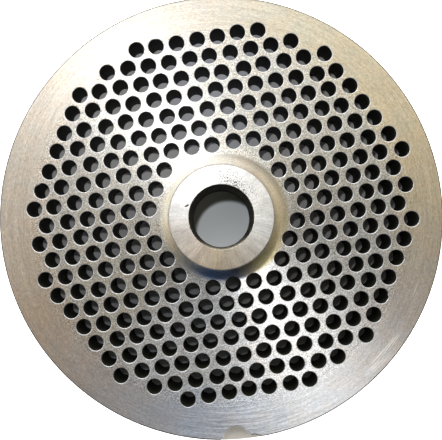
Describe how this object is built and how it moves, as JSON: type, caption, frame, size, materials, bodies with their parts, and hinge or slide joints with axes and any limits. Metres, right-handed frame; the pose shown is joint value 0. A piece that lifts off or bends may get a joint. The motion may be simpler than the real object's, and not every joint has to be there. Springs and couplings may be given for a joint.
{
  "type": "meat grinder plate",
  "caption": "Round perforated plate for a meat grinder, with a raised hub round its centre bore, a flat knife face and a half-round key notch in the rim.",
  "frame": {"origin": "where the bore's axis meets the flat knife face, which is the underside", "axes": "+Z along the bore's axis towards the hub's end, -Y through the middle of the key notch, +X completes a right-handed frame"},
  "size_m": [0.1, 0.0999, 0.019],
  "materials": {
    "turned_steel": "turned and ground, with fine concentric tool marks"
  },
  "bodies": {
    "root": {"grinder_plate": "turned_steel"}
  },
  "joints": []
}
